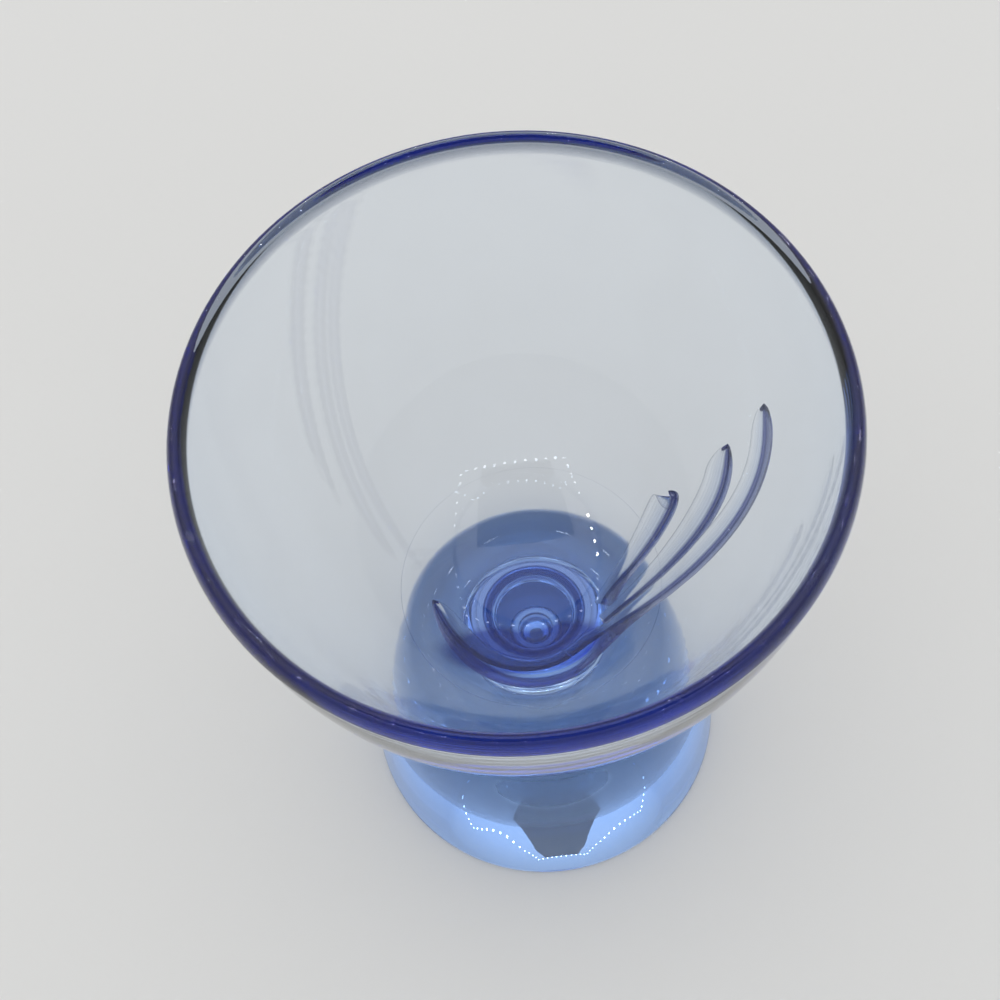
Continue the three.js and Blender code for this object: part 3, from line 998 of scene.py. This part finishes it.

# %% [markdown]
# ## The pool in the bottom
#
# Behind the crescent the photograph shows a boat-shaped pool of deep indigo. What makes it on the real bowl is
# not known. Here it is painted shade: a mask darkens the tint of the bowl's glass. Its edge is soft, and its
# shape is the part of a round patch that a second, higher patch does not cover. From low down it shows as a
# darker blue patch in the wall.

# %% Painted shade of the pool
# Painted shade: the dark indigo that the bowl's tint is pulled towards in the pool.
PAINTED_POOL_SHADE = (0.04, 0.075, 0.34)
POOL_PLACE = (-2.5 * MM, -11.0 * MM)
POOL_HALF = (16.5 * MM, 6.2 * MM)
POOL_CUT_PLACE = (-1.0 * MM, 0.0)
POOL_CUT_HALF = (10 * MM, 6.5 * MM)
POOL_SOFTNESS = 0.16
POOL_CUT_SOFTNESS = 0.15


def patch(nodes, links, place, half, softness):
    """1 inside an upright elliptical column, 0 outside it, with a soft edge."""
    where = nodes.new("ShaderNodeTexCoord")
    split = nodes.new("ShaderNodeSeparateXYZ")
    links.new(where.outputs["Object"], split.inputs[0])
    squares = []
    for axis, centre, reach in zip(("X", "Y"), place, half):
        moved = math_node(nodes, links, "SUBTRACT", split.outputs[axis], centre)
        squares.append(math_node(nodes, links, "POWER", math_node(nodes, links, "DIVIDE", moved, reach), 2.0))
    away = math_node(nodes, links, "SQRT", math_node(nodes, links, "ADD", *squares), 0)
    edge = nodes.new("ShaderNodeMapRange")
    edge.interpolation_type = "SMOOTHSTEP"
    edge.inputs["From Min"].default_value = 1 + softness
    edge.inputs["From Max"].default_value = 1 - softness
    links.new(away, edge.inputs["Value"])
    return edge.outputs["Result"]


# The mask of the painted shade in the pool.
def painted_pool_shade_mask(nodes, links):
    pool = patch(nodes, links, POOL_PLACE, POOL_HALF, POOL_SOFTNESS)
    cut = patch(nodes, links, POOL_CUT_PLACE, POOL_CUT_HALF, POOL_CUT_SOFTNESS)
    return math_node(nodes, links, "MULTIPLY", pool, math_node(nodes, links, "SUBTRACT", 1.0, cut))


# Painted shade in the bottom of the bowl.
painted_shade(bowl_glass, PAINTED_POOL_SHADE, painted_pool_shade_mask)
print("pool stained in the bottom of the bowl")

# %% [markdown]
# ## Which piece stands for which
#
# Every piece rides on the one body of the part, takes the place of its construction solid and names the
# finish that it belongs to.

# %% Riding and replacing
STANDS_FOR = [
    (foot, "foot", "mid_blue_glass"),
    (stem, "stem", "mid_blue_glass"),
    (calyx, "calyx", "mid_blue_glass"),
    (bowl, "bowl", "pale_blue_glass"),
    (lip, "lip_wrap", "deep_blue_glass"),
    (crescent, "crescent_wrap", "deep_blue_glass"),
    (trail_long, "trail_long", "deep_blue_glass"),
    (trail_middle, "trail_middle", "deep_blue_glass"),
    (trail_short, "trail_short", "deep_blue_glass"),
]
for piece, node, slot in STANDS_FOR:
    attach(piece, "root")
    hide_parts(node)
print("pieces:", len(STANDS_FOR))
